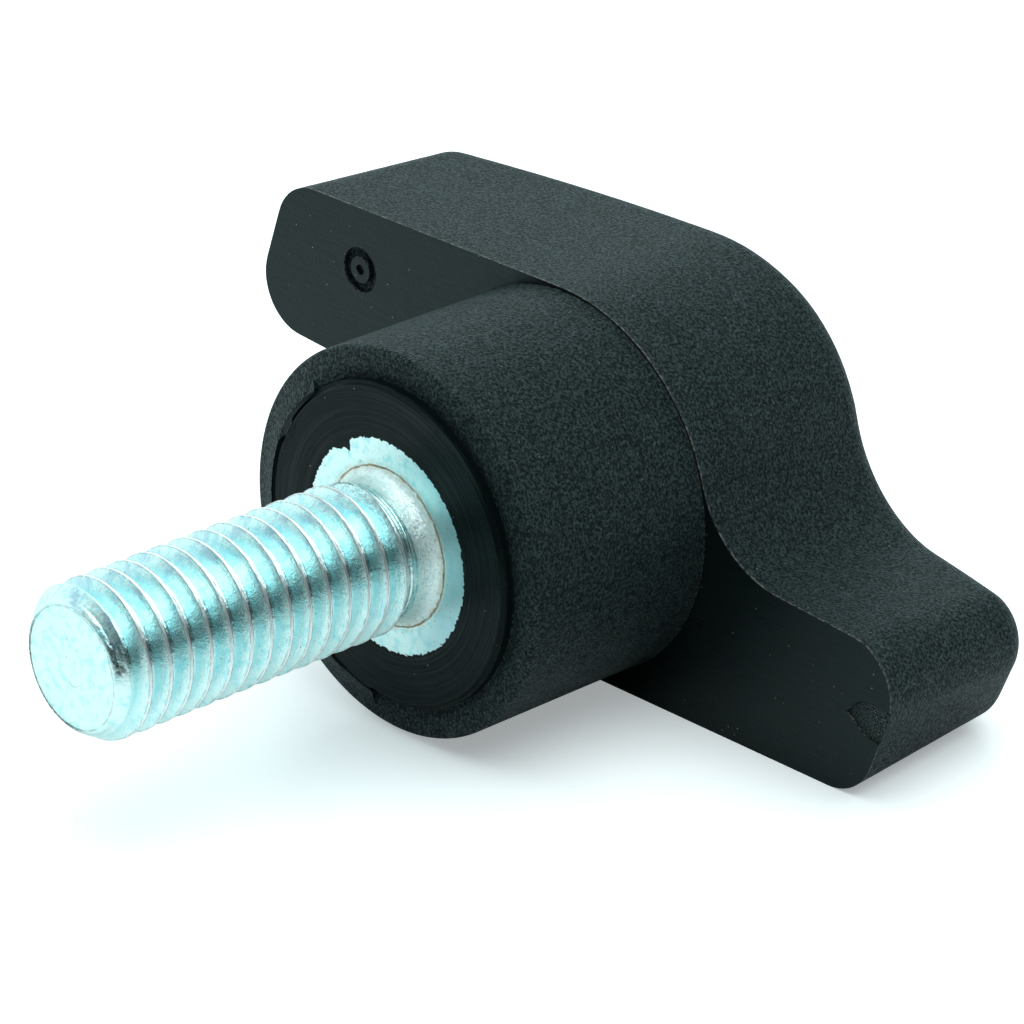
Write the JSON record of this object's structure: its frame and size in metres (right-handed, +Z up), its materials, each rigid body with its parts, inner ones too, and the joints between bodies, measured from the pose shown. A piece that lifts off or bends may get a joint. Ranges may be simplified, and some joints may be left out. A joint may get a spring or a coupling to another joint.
{
  "type": "wing screw",
  "caption": "Black moulded wing knob with a fixed zinc-plated metric threaded stud, for hand tightening.",
  "frame": {"origin": "on the stud axis, in the plane of the seating face at the root of the stud", "axes": "-Y along the stud towards its tip, +X along the wing whose straight edge lies on the floor, +Z up; right-handed M8 thread"},
  "size_m": [0.0456, 0.0454, 0.0208],
  "materials": {
    "black_polyamide": "fine spark-eroded matte texture",
    "zinc_plated_steel": "clear-passivated bright zinc, semi-bright"
  },
  "bodies": {
    "root": {"moulded_wing_knob": "black_polyamide", "threaded_stud_with_knurled_head": "zinc_plated_steel"}
  },
  "joints": []
}
